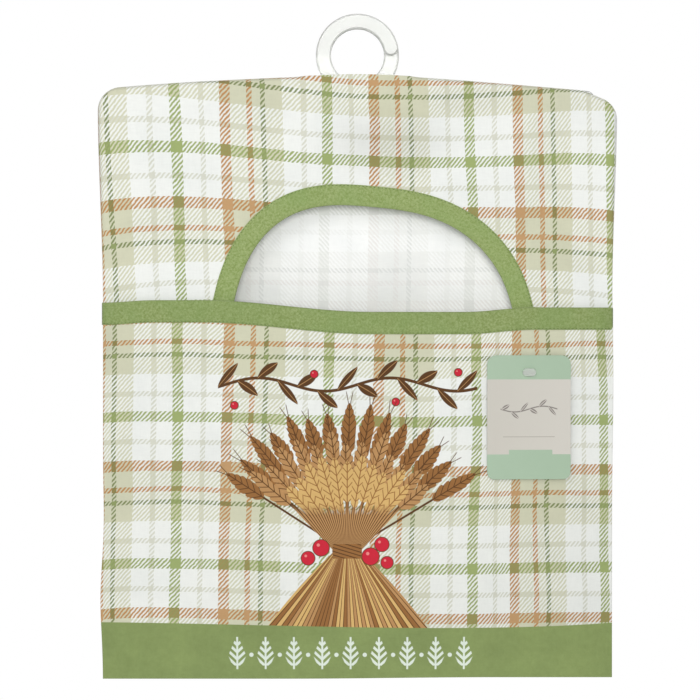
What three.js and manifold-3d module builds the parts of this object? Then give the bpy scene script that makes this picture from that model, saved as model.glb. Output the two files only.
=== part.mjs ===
// Cotton peg bag on a double hanger.
//
// Two identical clear plastic hangers lie face to face inside the shoulders of the bag, turned so that
// their hooks open to opposite sides and close into a ring. The bag is a back panel, an upper front
// panel with an arched mouth and a lower front panel, all of thin cloth, with a folded tape round the
// arch and another along the lip of the mouth. A swing tag of card turns on a plastic tag pin.
//
// Millimetres. +Z is up and -Y is the front. The origin is where a washing line bears in the hooks,
// under the top of the ring. Each hanger rocks about the line of its feet, so the hooks spread apart.
import * as THREE from "three";
import { mergeVertices } from "three/addons/utils/BufferGeometryUtils.js";
import Module from "manifold-3d";

const wasm = await Module();
wasm.setup();

const { clamp, degToRad, lerp } = THREE.MathUtils;

// Fits that several pieces share
const seatGap = 0.3;
const seamGap = 0.3;
const cutOverrun = 5;

// Cloth and tape
const clothThickness = 0.8;
const tapeThickness = 0.7;
const seamAllowance = 6;

// Hooks: a ring of two mirrored hooks, one in front of the other
const lineSeatRadius = 15.4;
const hookWidth = 8.7;
const hangerThickness = 3.2;
const hangerPairGap = 0.4;
const hookEdgeBevel = 0.9;
const hookRootAngle = degToRad(250);

// Hanger body: a deep hub, and arms that follow the shoulders of the bag
const hangerEndRoom = 13.6;
const hubHeight = 17.5;
const hubSpread = 27;
const armRootHeight = 11.5;
const armTipHeight = 8.5;
const armEdgeBevel = 0.5;
const flangeWidth = 1.9;
const webThickness = 1.4;
const ribWidth = 1.6;
const ribPitch = 21;
const hubPlainHalfWidth = 26;
const rockAngle = degToRad(6);

// Outline of the bag, seen from the front
const neckBelowSeat = 26.6;
const bagHeight = 349.8;
const shoulderHalfWidth = 150.6;
const waistTaper = 3;
const waistDepth = 120;
const shoulderDrop = 9.7;
const shoulderPower = 1.37;
const cornerRadius = 14;
const slotHalfWidth = 29;
const slotBlend = 8;

// Depth of the bag: close over the hangers, full in the pouch, closed at the hem
const edgeRoundness = 3.6;
const ridgeRoundness = 3;
const ridgeEase = 0.9;
const roundPower = 2.5;
const frontBelly = 15;
const backBelly = 10.5;
const lensPower = 2.4;
const bottomClose = 110;
const bottomPower = 2.4;
const hangerZone = 34;
const lensZone = 95;
const bellyZone = 210;

// Lip of the mouth: a tape folded over the top edge of the lower panel
const lipBelowNeck = 132.3;
const lipSag = 4.9;
const lipTilt = 1.1;
const lipTapeHeight = 12.4;
const lipOverlap = 8;
const lipSettle = 45;
const seamStep = 6;
const foldInset = 1.5;

// Arch of the mouth: a tape folded over the cut edge of the upper panel
const archTapeWidth = 11;
const archHalfWidth = 80.4;
const archRise = 68.8;
const archOffset = 10.5;
const archLean = 9.3;
const archPower = 2.39;
const archFootBelowLip = 7;

// Swing tag and its pin
const tagWidth = 48.7;
const tagHeight = 71.5;
const cardThickness = 0.6;
const tagTopRadius = 5.2;
const tagBottomRadius = 4.2;
const tagPinFromSide = 48.8;
const tagPinBelowLip = 36.6;
const tagPinBelowEdge = 9.8;
const filament = 1;
const paddleLength = 8;
const paddleHeight = 4.6;
const paddleThickness = 1;
const paddleBevel = 0.3;
const tBarLength = 9;
const tBarDiameter = 1.4;
const pinSlack = 5;

// Facets
const hookSteps = 36;
const tipSteps = 8;
const archSteps = 40;
const lipSteps = 28;
const roundSteps = 12;
const tagSamples = 24;
const edgeShares = [1, 0.55, 0.25, 0.07, 0];

// Shares of a tape's leg where its section has a point
const tapeLegShares = [1, 0.66, 0.33];
const foldNoseShare = 0.5;

// Places that follow from the sizes above
const waistHalfWidth = shoulderHalfWidth - waistTaper;
const hangerHalfLength = shoulderHalfWidth - hangerEndRoom;
const tagPinX = waistHalfWidth - tagPinFromSide;
const hangerFace = hangerPairGap / 2 + hangerThickness;
const rockReach = hubHeight * Math.sin(rockAngle);
const ridgeHalfDepth = hangerFace + rockReach + clothThickness + seatGap + ridgeEase;
const ringCentreZ = -lineSeatRadius;
const ringMidRadius = lineSeatRadius + hookWidth / 2;
const bagTopZ = -neckBelowSeat;
const bagBottomZ = bagTopZ - bagHeight;
const tapeStand = seatGap + tapeThickness;
const lipStack = clothThickness + 2 * tapeStand + seatGap;

// Shape helpers

const smooth = (share) => THREE.MathUtils.smoothstep(share, 0, 1);

// A rounded profile that climbs from 0 at share 0 to 1 at share 1, upright at its foot and level on top.
function rounded(share) {
  return Math.pow(1 - Math.pow(1 - clamp(share, 0, 1), roundPower), 1 / roundPower);
}

// The share at which the rounded profile reaches a height.
function roundedShareAt(height) {
  return 1 - Math.pow(1 - Math.pow(height, roundPower), 1 / roundPower);
}

function toManifold(geometry) {
  const bare = geometry.clone();
  bare.deleteAttribute("normal");
  bare.deleteAttribute("uv");
  const merged = mergeVertices(bare);
  return new wasm.Manifold(
    new wasm.Mesh({
      numProp: 3,
      vertProperties: merged.attributes.position.array,
      triVerts: new Uint32Array(merged.index.array),
    }),
  );
}

function toGeometry(solid) {
  const mesh = solid.getMesh();
  const geometry = new THREE.BufferGeometry();
  geometry.setAttribute("position", new THREE.BufferAttribute(mesh.vertProperties, mesh.numProp));
  geometry.setIndex(new THREE.BufferAttribute(mesh.triVerts, 1));
  geometry.computeVertexNormals();
  return geometry;
}

// A closed geometry from points and triangles, turned so that its faces point away from its inside.
function closedGeometry(points, triangles) {
  let volume = 0;
  for (let i = 0; i < triangles.length; i += 3) {
    const [a, b, c] = [0, 1, 2].map((k) => points[triangles[i + k]]);
    volume += a.dot(b.clone().cross(c));
  }
  if (volume < 0) triangles.reverse();
  const geometry = new THREE.BufferGeometry();
  const positions = points.flatMap((p) => [p.x, p.y, p.z]);
  geometry.setAttribute("position", new THREE.Float32BufferAttribute(positions, 3));
  geometry.setIndex(triangles);
  geometry.computeVertexNormals();
  return geometry;
}

// A closed body through rings of equally many points. Its two ends are filled by triangles of the
// flat outline that every ring follows.
function loft(rings, outline) {
  const count = outline.length;
  const last = (rings.length - 1) * count;
  const triangles = [];
  for (let ring = 0; ring < last; ring += count) {
    for (let i = 0; i < count; i++) {
      const a = ring + i;
      const b = ring + ((i + 1) % count);
      triangles.push(a, b, a + count, b, b + count, a + count);
    }
  }
  for (const [a, b, c] of THREE.ShapeUtils.triangulateShape(outline, [])) {
    if (THREE.ShapeUtils.isClockWise([outline[a], outline[b], outline[c]])) {
      triangles.push(a, b, c, last + a, last + c, last + b);
    } else {
      triangles.push(a, c, b, last + a, last + b, last + c);
    }
  }
  if (THREE.ShapeUtils.isClockWise(outline)) {
    const caps = triangles.splice(last * 6);
    triangles.push(...caps.reverse());
  }
  return closedGeometry(rings.flat(), triangles);
}

// A closed sheet between two grids of points of the same size, given as rows of columns.
function sheet(outer, inner) {
  const rows = outer.length;
  const columns = outer[0].length;
  const half = rows * columns;
  const triangles = [];
  const quad = (a, b, c, d) => triangles.push(a, b, c, a, c, d);
  for (let r = 0; r + 1 < rows; r++) {
    for (let c = 0; c + 1 < columns; c++) {
      const a = r * columns + c;
      quad(a, a + 1, a + 1 + columns, a + columns);
      quad(half + a, half + a + columns, half + a + 1 + columns, half + a + 1);
    }
  }
  const rim = [];
  for (let c = 0; c + 1 < columns; c++) rim.push(c);
  for (let r = 0; r + 1 < rows; r++) rim.push(r * columns + columns - 1);
  for (let c = columns - 1; c > 0; c--) rim.push((rows - 1) * columns + c);
  for (let r = rows - 1; r > 0; r--) rim.push(r * columns);
  rim.forEach((a, i) => {
    const b = rim[(i + 1) % rim.length];
    quad(b, a, half + a, half + b);
  });
  return closedGeometry([...outer.flat(), ...inner.flat()], triangles);
}

// A prism of an outline in the XZ plane that runs from fromY to toY, its edges bevelled.
function prismXZ(outline, fromY, toY, bevel = 0) {
  const shape = new THREE.Shape(outline);
  const prism = new THREE.ExtrudeGeometry(shape, {
    depth: toY - fromY - 2 * bevel,
    bevelEnabled: bevel > 0,
    bevelThickness: bevel,
    bevelSize: bevel,
    bevelOffset: -bevel,
    bevelSegments: 1,
  });
  prism.rotateX(Math.PI / 2);
  prism.translate(0, toY - bevel, 0);
  return prism;
}

// Points of an arc in the XZ plane.
function arcPoints(centreX, centreZ, radius, fromAngle, toAngle, steps) {
  return Array.from({ length: steps + 1 }, (_, i) => {
    const angle = lerp(fromAngle, toAngle, i / steps);
    return new THREE.Vector2(
      centreX + radius * Math.cos(angle),
      centreZ + radius * Math.sin(angle),
    );
  });
}

// Outline and depth of the bag
// An inset of 0 gives the outer surface of the cloth, and an inset of its thickness the inner one.

function halfWidth(z) {
  const share = (bagTopZ - cornerRadius - z) / waistDepth;
  return lerp(shoulderHalfWidth, waistHalfWidth, smooth(share));
}

// The top edge at x, without its round corners.
function shoulderZ(x) {
  return bagTopZ - shoulderDrop * Math.pow(Math.abs(x) / shoulderHalfWidth, shoulderPower);
}

// The top edge at x, round corners included.
function topEdgeZ(x, inset = 0) {
  const cornerX = shoulderHalfWidth - cornerRadius;
  const radius = cornerRadius - inset;
  const into = clamp(Math.abs(x) - cornerX, 0, radius);
  const rise = Math.sqrt(radius * radius - into * into);
  return shoulderZ(Math.min(Math.abs(x), cornerX)) - cornerRadius + rise;
}

// The top of the lip, which sags in the middle and sits a little higher on the left.
function lipZ(x) {
  const share = x / waistHalfWidth;
  return bagTopZ - lipBelowNeck - lipSag * (1 - share * share) - lipTilt * share;
}

// How far the cloth stands from the seam plane at (x, z), on a side of the bag with this belly.
function bagDepth(x, z, belly, inset = 0) {
  const below = bagTopZ - z;
  const reach = Math.abs(x);
  const half = halfWidth(z) - inset;
  const lensShare = smooth((below - hangerZone) / lensZone);
  const bellyShare = smooth((below - hangerZone) / bellyZone);
  const slotShare = smooth((reach - slotHalfWidth) / slotBlend);
  const closeShare = clamp((z - bagBottomZ) / bottomClose, 0, 1);
  const full = lerp(ridgeHalfDepth, belly, bellyShare) - inset;
  const base = seamGap / 2 + (clothThickness - inset) * lensShare;
  const boxy = rounded((half - reach) / (edgeRoundness - inset));
  const lens = 1 - Math.pow(Math.min(reach / half, 1), lensPower);
  const ridge = rounded((topEdgeZ(x, inset) - z) / (ridgeRoundness - inset));
  const foot = 1 - Math.pow(1 - closeShare, bottomPower);
  return base + (full - base) * lerp(boxy, lens, lensShare) * lerp(1, ridge, slotShare) * foot;
}

const backDepth = (x, z, inset) => bagDepth(x, z, backBelly, inset);
const upperDepth = (x, z, inset) => bagDepth(x, z, frontBelly, inset);

// The lower panel stands in front of the upper one by the cloth and tapes between them, and comes
// back to the bag's own depth below the lip.
function lowerDepth(x, z, inset = 0) {
  const below = lipZ(x) - z - lipTapeHeight;
  return upperDepth(x, z, 0) + lipStack * (1 - smooth(below / lipSettle)) - inset;
}

// Cloth panels

// Columns as shares of the half width, close together where the neck slot ends and at the side seams.
function panelColumnShares() {
  const plainColumns = 6;
  const slotColumns = 3;
  const slotEnd = slotHalfWidth + slotBlend;
  const plainEnd = shoulderHalfWidth - cornerRadius;
  const distances = [0, slotHalfWidth / 2, slotHalfWidth];
  for (let i = 1; i <= slotColumns; i++) {
    distances.push(slotHalfWidth + (slotBlend * i) / slotColumns);
  }
  for (let i = 1; i <= plainColumns; i++) {
    distances.push(lerp(slotEnd, plainEnd, i / plainColumns));
  }
  for (const share of edgeShares) {
    distances.push(shoulderHalfWidth - edgeRoundness * share);
  }
  const shares = distances.map((distance) => distance / shoulderHalfWidth);
  const mirrored = shares.slice(1).map((share) => -share);
  return [...mirrored.reverse(), ...shares];
}

// Rows from a low edge up to a high one, which is left out.
function rowsBetween(count, low, high) {
  return Array.from(
    { length: count },
    (_, i) => (x, inset) => lerp(low(x, inset), high(x, inset), i / count),
  );
}

// Rows over the round ridge at the top of the bag.
const ridgeRows = edgeShares.map(
  (share) => (x, inset) => topEdgeZ(x, inset) - (ridgeRoundness - inset) * share,
);
const ridgeFoot = ridgeRows[0];

// One face of a panel. side is -1 for the front of the bag and 1 for the back. The bag's width at a
// row is taken at about the height that the row has there.
function panelFace(side, depth, rows, inset) {
  return rows.map((row) =>
    panelColumnShares().map((share) => {
      const nearZ = row(share * (shoulderHalfWidth - inset), inset);
      const x = share * (halfWidth(nearZ) - inset);
      const z = row(x, inset);
      return new THREE.Vector3(x, side * depth(x, z, inset), z);
    }),
  );
}

function makeBackPanel() {
  const rows = [...rowsBetween(15, () => bagBottomZ, ridgeFoot), ...ridgeRows];
  return sheet(
    panelFace(1, backDepth, rows, 0),
    panelFace(1, backDepth, rows, clothThickness),
  );
}

function makeUpperPanel() {
  const rows = [...rowsBetween(8, (x) => lipZ(x) - lipOverlap, ridgeFoot), ...ridgeRows];
  const panel = sheet(
    panelFace(-1, upperDepth, rows, 0),
    panelFace(-1, upperDepth, rows, clothThickness),
  );
  const edge = Array.from({ length: archSteps + 1 }, (_, i) => archPoint(i / archSteps, foldInset));
  const belowPanel = lipZ(0) - archFootBelowLip - lipOverlap - cutOverrun;
  const mouth = [
    new THREE.Vector2(edge[0].x, belowPanel),
    ...edge,
    new THREE.Vector2(edge[archSteps].x, belowPanel),
  ];
  const cutter = prismXZ(mouth, -frontBelly - lipStack - cutOverrun, 0);
  return toGeometry(toManifold(panel).subtract(toManifold(cutter)));
}

// The lower panel is open behind its lip. Below the tapes its side seams close on the back panel.
function makeLowerPanel() {
  const tapeFoot = (x) => lipZ(x) - lipTapeHeight - seatGap;
  const seamTop = (x) => tapeFoot(x) - seamStep;
  const rows = [
    ...rowsBetween(11, () => bagBottomZ, seamTop),
    seamTop,
    tapeFoot,
    (x) => lipZ(x) - lipTapeHeight / 2,
    (x) => lipZ(x) - foldInset,
  ];
  const outer = panelFace(-1, lowerDepth, rows, 0);
  const seamRows = rows.indexOf(seamTop);
  const inner = outer.map((line, r) =>
    line.map((point) => {
      const inSeam = halfWidth(point.z) - Math.abs(point.x) < seamAllowance && r <= seamRows;
      const y = inSeam ? -seamGap / 2 : point.y + clothThickness;
      return new THREE.Vector3(point.x, y, point.z);
    }),
  );
  const hole = roundBar(filament + 2 * seatGap, -frontBelly, frontBelly).applyMatrix4(tagFrame());
  return toGeometry(toManifold(sheet(outer, inner)).subtract(toManifold(hole)));
}

// Folded tapes

// The section of a tape folded over the edge of a sheet: r runs from the fold along the sheet, and
// stand is how far a point lies off the face of the sheet. The inside leaves room for the sheet.
function tapeSection(reach) {
  const legs = [...tapeLegShares.map((share) => share * reach), foldInset * foldNoseShare];
  const insideEnd = foldInset - seatGap;
  return [
    ...legs.map((r) => ({ r, front: true, stand: tapeStand })),
    { r: 0, front: true, stand: 0 },
    { r: 0, front: false, stand: 0 },
    ...legs.reverse().map((r) => ({ r, front: false, stand: tapeStand })),
    { r: reach, front: false, stand: seatGap },
    { r: reach / 2, front: false, stand: seatGap },
    { r: insideEnd, front: false, stand: seatGap },
    { r: insideEnd, front: true, stand: seatGap },
    { r: reach / 2, front: true, stand: seatGap },
    { r: reach, front: true, stand: seatGap },
  ];
}

// Sweeps a folded tape along the edge of a front panel. edge(share) gives a point of the fold and the
// direction in the XZ plane that its legs run.
function foldedTape({ edge, steps, reach, depth }) {
  const section = tapeSection(reach);
  const flat = section.map(({ r, front, stand }) =>
    front ? new THREE.Vector2(r, -stand) : new THREE.Vector2(r, clothThickness + stand),
  );
  const rings = Array.from({ length: steps + 1 }, (_, i) => {
    const { at, towards } = edge(i / steps);
    return section.map(({ r, front, stand }) => {
      const x = at.x + towards.x * r;
      const z = at.y + towards.y * r;
      const y = front ? -depth(x, z, 0) - stand : -depth(x, z, clothThickness) + stand;
      return new THREE.Vector3(x, y, z);
    });
  });
  return loft(rings, flat);
}

// The arch without its offset from the middle of the bag: a leaning superellipse.
function archCurve(share) {
  const angle = Math.PI * (1 - clamp(share, 0, 1));
  const across = Math.cos(angle);
  const up = Math.max(Math.sin(angle), 0);
  const bend = 2 / archPower;
  return new THREE.Vector2(
    archHalfWidth * Math.sign(across) * Math.pow(Math.abs(across), bend) - archLean * up,
    archRise * Math.pow(up, bend),
  );
}

// The direction in the XZ plane that points away from the mouth, level at the two feet.
function archNormal(share) {
  if (share <= 0) return new THREE.Vector2(-1, 0);
  if (share >= 1) return new THREE.Vector2(1, 0);
  const stepShare = 0.5 / archSteps;
  const along = archCurve(share + stepShare).sub(archCurve(share - stepShare)).normalize();
  return new THREE.Vector2(-along.y, along.x);
}

// A point of the arch, some way out from the fold, from its left foot at 0 to its right foot at 1.
function archPoint(share, out = 0) {
  const foot = new THREE.Vector2(archOffset, lipZ(0) - archFootBelowLip);
  return archCurve(share).add(foot).addScaledVector(archNormal(share), out);
}

function makeArchTape() {
  return foldedTape({
    edge: (share) => ({ at: archPoint(share), towards: archNormal(share) }),
    steps: archSteps,
    reach: archTapeWidth,
    depth: upperDepth,
  });
}

function makeLipTape() {
  const half = halfWidth(lipZ(0));
  const down = new THREE.Vector2(0, -1);
  return foldedTape({
    edge: (share) => {
      const x = lerp(-half, half, share);
      return { at: new THREE.Vector2(x, lipZ(x)), towards: down };
    },
    steps: lipSteps,
    reach: lipTapeHeight,
    depth: lowerDepth,
  });
}

// Hangers

// The hanger's top runs just under the ridge, where its outer face still clears the rounded cloth.
const ridgeShare = (hangerFace - seamGap / 2) / (ridgeHalfDepth - clothThickness - seamGap / 2);
const ridgeFall = (ridgeRoundness - clothThickness) * roundedShareAt(ridgeShare);
const hangerInset = clothThickness + seatGap + ridgeFall;
const armTopZ = (x) => shoulderZ(x) - hangerInset;
const hangerFootZ = armTopZ(0) - hubHeight;

function armBottomZ(x) {
  const arm = lerp(armRootHeight, armTipHeight, Math.min(Math.abs(x) / hangerHalfLength, 1));
  const hub = (hubHeight - armRootHeight) * Math.exp(-Math.pow(x / hubSpread, 2));
  return Math.max(armTopZ(x) - arm - hub, hangerFootZ);
}

// Points along the top of the hanger from one x to another, or along its underside.
function alongArm(edgeZ, fromX, toX, inset) {
  const count = Math.max(2, Math.ceil((Math.abs(toX - fromX) * 2) / ribPitch));
  return Array.from({ length: count + 1 }, (_, i) => {
    const x = lerp(fromX, toX, i / count);
    return new THREE.Vector2(x, edgeZ(x) - inset);
  });
}

// The outline of hub and arms, with half-round tips.
function hangerOutline() {
  const tipX = hangerHalfLength - armTipHeight / 2;
  const tipTop = armTopZ(tipX);
  const tipRadius = (tipTop - armBottomZ(tipX)) / 2;
  const quarter = Math.PI / 2;
  const rightTip = arcPoints(tipX, tipTop - tipRadius, tipRadius, quarter, -quarter, tipSteps);
  const leftTip = arcPoints(-tipX, tipTop - tipRadius, tipRadius, -quarter, -3 * quarter, tipSteps);
  return [
    ...alongArm(armTopZ, -tipX, tipX, 0).slice(1, -1),
    ...rightTip,
    ...alongArm(armBottomZ, tipX, -tipX, 0).slice(1, -1),
    ...leftTip,
  ];
}

// The hook's outline: most of a ring, its free end half round and its root down in the hub.
function hookOutline() {
  const outer = lineSeatRadius + hookWidth;
  const tipAngle = Math.asin(hookWidth / 2 / ringMidRadius);
  const tipX = ringMidRadius * Math.cos(tipAngle);
  const tipZ = ringCentreZ + ringMidRadius * Math.sin(tipAngle);
  const tip = arcPoints(tipX, tipZ, hookWidth / 2, tipAngle - Math.PI, tipAngle, tipSteps);
  return [
    ...tip.slice(1, -1),
    ...arcPoints(0, ringCentreZ, outer, tipAngle, hookRootAngle, hookSteps),
    ...arcPoints(0, ringCentreZ, lineSeatRadius, hookRootAngle, tipAngle, hookSteps),
  ];
}

// The recesses between the ribs of one arm, from the hub to the tip.
function armRecesses() {
  const tipX = hangerHalfLength - armTipHeight;
  const count = Math.round((tipX - hubPlainHalfWidth) / ribPitch);
  const pitch = (tipX - hubPlainHalfWidth) / count;
  return Array.from({ length: count }, (_, i) => {
    const fromX = hubPlainHalfWidth + i * pitch;
    const toX = fromX + pitch - ribWidth;
    return [
      ...alongArm(armTopZ, fromX, toX, flangeWidth),
      ...alongArm(armBottomZ, toX, fromX, -flangeWidth),
    ];
  });
}

// The front hanger, with its inner face on the gap between the pair.
function makeHanger() {
  const front = -hangerFace;
  const back = front + hangerThickness;
  const recess = (hangerThickness - webThickness) / 2;
  const body = prismXZ(hangerOutline(), front, back, armEdgeBevel);
  const hook = prismXZ(hookOutline(), front, back, hookEdgeBevel);
  let solid = toManifold(body).add(toManifold(hook));
  for (const outline of armRecesses()) {
    const mirrored = outline.map((p) => new THREE.Vector2(-p.x, p.y)).reverse();
    for (const shape of [outline, mirrored]) {
      solid = solid
        .subtract(toManifold(prismXZ(shape, front - cutOverrun, front + recess)))
        .subtract(toManifold(prismXZ(shape, back - recess, back + cutOverrun)));
    }
  }
  return toGeometry(solid);
}

// Swing tag and pin
// Their own frame has x across the card, y up it and z out of the bag, from the card's back face at
// the pin.

// A round bar along z of a piece's own frame.
function roundBar(diameter, fromZ, toZ) {
  const bar = new THREE.CylinderGeometry(diameter / 2, diameter / 2, toZ - fromZ, roundSteps);
  bar.rotateX(Math.PI / 2);
  bar.translate(0, 0, (fromZ + toZ) / 2);
  return bar;
}

const tagPinZ = lipZ(tagPinX) - tagPinBelowLip;
const tagTopZ = tagPinZ + tagPinBelowEdge;

// The slopes of the cloth behind the card: across it at the pin, and from its top to its bottom.
const tagSlopeX =
  (lowerDepth(tagPinX + foldInset, tagPinZ) - lowerDepth(tagPinX - foldInset, tagPinZ)) /
  (2 * foldInset);
const tagSlopeZ = (lowerDepth(tagPinX, tagTopZ) - lowerDepth(tagPinX, tagTopZ - tagHeight)) / tagHeight;

// How far the back of the card stands off the cloth at the pin: as little as clears the cloth all
// round the circle that the card can reach below the lip tape.
function tagStandOff() {
  const reach = Math.hypot(tagWidth / 2, tagHeight - tagPinBelowEdge);
  const atPin = lowerDepth(tagPinX, tagPinZ);
  let stand = 0;
  for (let i = -tagSamples; i <= tagSamples; i++) {
    for (let j = -tagSamples; j <= tagSamples; j++) {
      const dx = (reach * i) / tagSamples;
      const dz = (reach * j) / tagSamples;
      const x = tagPinX + dx;
      const z = tagPinZ + dz;
      const onCloth = Math.abs(x) < halfWidth(z) && z > bagBottomZ && z < lipZ(x) - lipTapeHeight;
      if (!onCloth || Math.hypot(dx, dz) > reach) continue;
      const plane = atPin + tagSlopeX * dx + tagSlopeZ * dz;
      stand = Math.max(stand, lowerDepth(x, z) - plane);
    }
  }
  return stand + seatGap;
}

const tagStand = tagStandOff();

// The frame of tag and pin in the bag: x across, y up and z out, square to the slopes above.
function tagFrame() {
  const out = new THREE.Vector3(-tagSlopeX, -1, -tagSlopeZ).normalize();
  const up = new THREE.Vector3(0, 0, 1).addScaledVector(out, -out.z).normalize();
  const across = new THREE.Vector3().crossVectors(up, out);
  const origin = new THREE.Vector3(
    tagPinX,
    -lowerDepth(tagPinX, tagPinZ) - tagStand,
    tagPinZ,
  );
  return new THREE.Matrix4().makeBasis(across, up, out).setPosition(origin);
}

function makeSwingTag() {
  const left = -tagWidth / 2;
  const right = tagWidth / 2;
  const top = tagPinBelowEdge;
  const bottom = tagPinBelowEdge - tagHeight;
  const quarter = Math.PI / 2;
  const corner = (x, z, radius, from) =>
    arcPoints(x, z, radius, from, from + quarter, tipSteps / 2);
  const card = new THREE.Shape([
    ...corner(right - tagTopRadius, top - tagTopRadius, tagTopRadius, 0),
    ...corner(left + tagTopRadius, top - tagTopRadius, tagTopRadius, quarter),
    ...corner(left + tagBottomRadius, bottom + tagBottomRadius, tagBottomRadius, 2 * quarter),
    ...corner(right - tagBottomRadius, bottom + tagBottomRadius, tagBottomRadius, -quarter),
  ]);
  const hole = new THREE.Path();
  hole.absarc(0, 0, filament / 2 + seatGap, 0, 2 * Math.PI, true);
  card.holes.push(hole);
  const geometry = new THREE.ExtrudeGeometry(card, {
    depth: cardThickness,
    bevelEnabled: false,
    curveSegments: roundSteps,
  });
  return geometry.applyMatrix4(tagFrame());
}

function makeTagPin() {
  const paddleZ = cardThickness + seatGap;
  const paddleOutline = new THREE.Shape();
  const endRadius = paddleHeight / 2;
  const endX = paddleLength / 2 - endRadius;
  paddleOutline.absarc(endX, 0, endRadius, -Math.PI / 2, Math.PI / 2, false);
  paddleOutline.absarc(-endX, 0, endRadius, Math.PI / 2, (3 * Math.PI) / 2, false);
  const paddle = new THREE.ExtrudeGeometry(paddleOutline, {
    depth: paddleThickness - 2 * paddleBevel,
    bevelThickness: paddleBevel,
    bevelSize: paddleBevel,
    bevelOffset: -paddleBevel,
    bevelSegments: 1,
    curveSegments: tipSteps,
  });
  paddle.translate(0, 0, paddleZ + paddleBevel);
  const tBarZ = -tagStand - clothThickness - 2 * seatGap - tBarDiameter / 2 - pinSlack;
  const tBar = roundBar(tBarDiameter, -tBarLength / 2, tBarLength / 2);
  tBar.rotateX(Math.PI / 2);
  tBar.translate(0, 0, tBarZ);
  const shaft = roundBar(filament, tBarZ, paddleZ + paddleThickness / 2);
  const solid = toManifold(paddle).add(toManifold(shaft)).add(toManifold(tBar));
  return toGeometry(solid).applyMatrix4(tagFrame());
}

// The assembly

const plaidCotton = { color: 0xe4e8da, roughness: 0.95 };
const greenTape = { color: 0x8caa60, roughness: 0.9 };
const clearPlastic = { color: 0xf3f5f2, roughness: 0.25, transparent: true, opacity: 0.55 };
const printedCard = { color: 0xa9c4a8, roughness: 0.7 };

function named(name, geometry, look) {
  const mesh = new THREE.Mesh(
    geometry,
    new THREE.MeshStandardMaterial({ metalness: 0, ...look }),
  );
  mesh.name = name;
  return mesh;
}

const hangerGeometry = makeHanger();
const rearHanger = named("rear_hanger", hangerGeometry, clearPlastic);
const frontHanger = named("front_hanger", hangerGeometry, clearPlastic);
rearHanger.rotation.z = Math.PI;

const pegBag = new THREE.Group();
pegBag.add(
  rearHanger,
  frontHanger,
  named("back_panel", makeBackPanel(), plaidCotton),
  named("front_upper_panel", makeUpperPanel(), plaidCotton),
  named("front_lower_panel", makeLowerPanel(), plaidCotton),
  named("arch_binding", makeArchTape(), greenTape),
  named("lip_binding", makeLipTape(), greenTape),
  named("swing_tag", makeSwingTag(), printedCard),
  named("tag_pin", makeTagPin(), clearPlastic),
);

export default pegBag;
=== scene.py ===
import math

import bpy
import numpy as np
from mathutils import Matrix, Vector


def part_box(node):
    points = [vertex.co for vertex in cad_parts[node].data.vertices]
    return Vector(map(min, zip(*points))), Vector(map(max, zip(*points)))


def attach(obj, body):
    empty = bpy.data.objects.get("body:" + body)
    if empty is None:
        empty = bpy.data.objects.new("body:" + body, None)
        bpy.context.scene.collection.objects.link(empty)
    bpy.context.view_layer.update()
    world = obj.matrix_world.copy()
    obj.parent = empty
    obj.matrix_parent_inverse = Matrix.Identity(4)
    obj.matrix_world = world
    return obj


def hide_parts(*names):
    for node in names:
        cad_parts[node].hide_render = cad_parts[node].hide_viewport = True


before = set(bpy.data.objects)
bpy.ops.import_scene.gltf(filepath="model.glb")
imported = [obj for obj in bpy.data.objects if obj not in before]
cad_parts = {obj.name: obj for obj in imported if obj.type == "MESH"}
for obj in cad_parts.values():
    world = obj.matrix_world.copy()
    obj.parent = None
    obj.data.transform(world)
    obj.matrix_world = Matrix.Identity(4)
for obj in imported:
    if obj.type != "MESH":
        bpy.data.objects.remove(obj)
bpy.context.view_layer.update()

# Sizes are in millimetres, and so are the print's own lengths. MM turns them into metres.
MM = 0.001

# Sizes that come from the frame
back_low, back_high = (np.array(corner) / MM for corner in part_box("back_panel"))
pouch_high = np.array(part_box("front_lower_panel")[1]) / MM
tag_low, tag_high = (np.array(corner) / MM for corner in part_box("swing_tag"))
SHOULDER_HALF = back_high[0]
WAIST_HALF = pouch_high[0]
BAG_TOP = back_high[2]
BAG_BOTTOM = back_low[2]

# Cloth and thread
CLOTH = 0.45
TAPE = 0.4
CLOTH_CELL = 2.2
THREAD = 0.34
STITCH_LENGTH = 1.1
STITCH_PITCH = 2.2
STITCH_INSET = 0.7
STITCH_AHEAD = 0.3
STITCH_RINGS = 7
STITCH_SIDES = 6
STITCH_LIFT = 0.12
STITCH_DIVE = 0.34
STITCH_TAPER = 0.35
FRONT = np.array([0, -1, 0])

# The form of the bag, as the frame has it
WAIST_DEPTH = 120
CORNER = 14
SHOULDER_DROP = 9.7
SHOULDER_POWER = 1.37
ROUND_POWER = 2.5
SLOT_HALF = 29
SLOT_BLEND = 8
EDGE_ROUND = 3.6
RIDGE_ROUND = 3
RIDGE_HALF_DEPTH = 6.8
SEAM_ROUND = 0.8
SEAM_GAP = 0.06
PRESSED_SEAM_SHARE = 0.4
FRONT_BELLY = 15
BACK_BELLY = 10.5
LENS_POWER = 2.4
BOTTOM_CLOSE = 110
HANGER_ZONE = 34
LENS_ZONE = 95
BELLY_ZONE = 210

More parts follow.
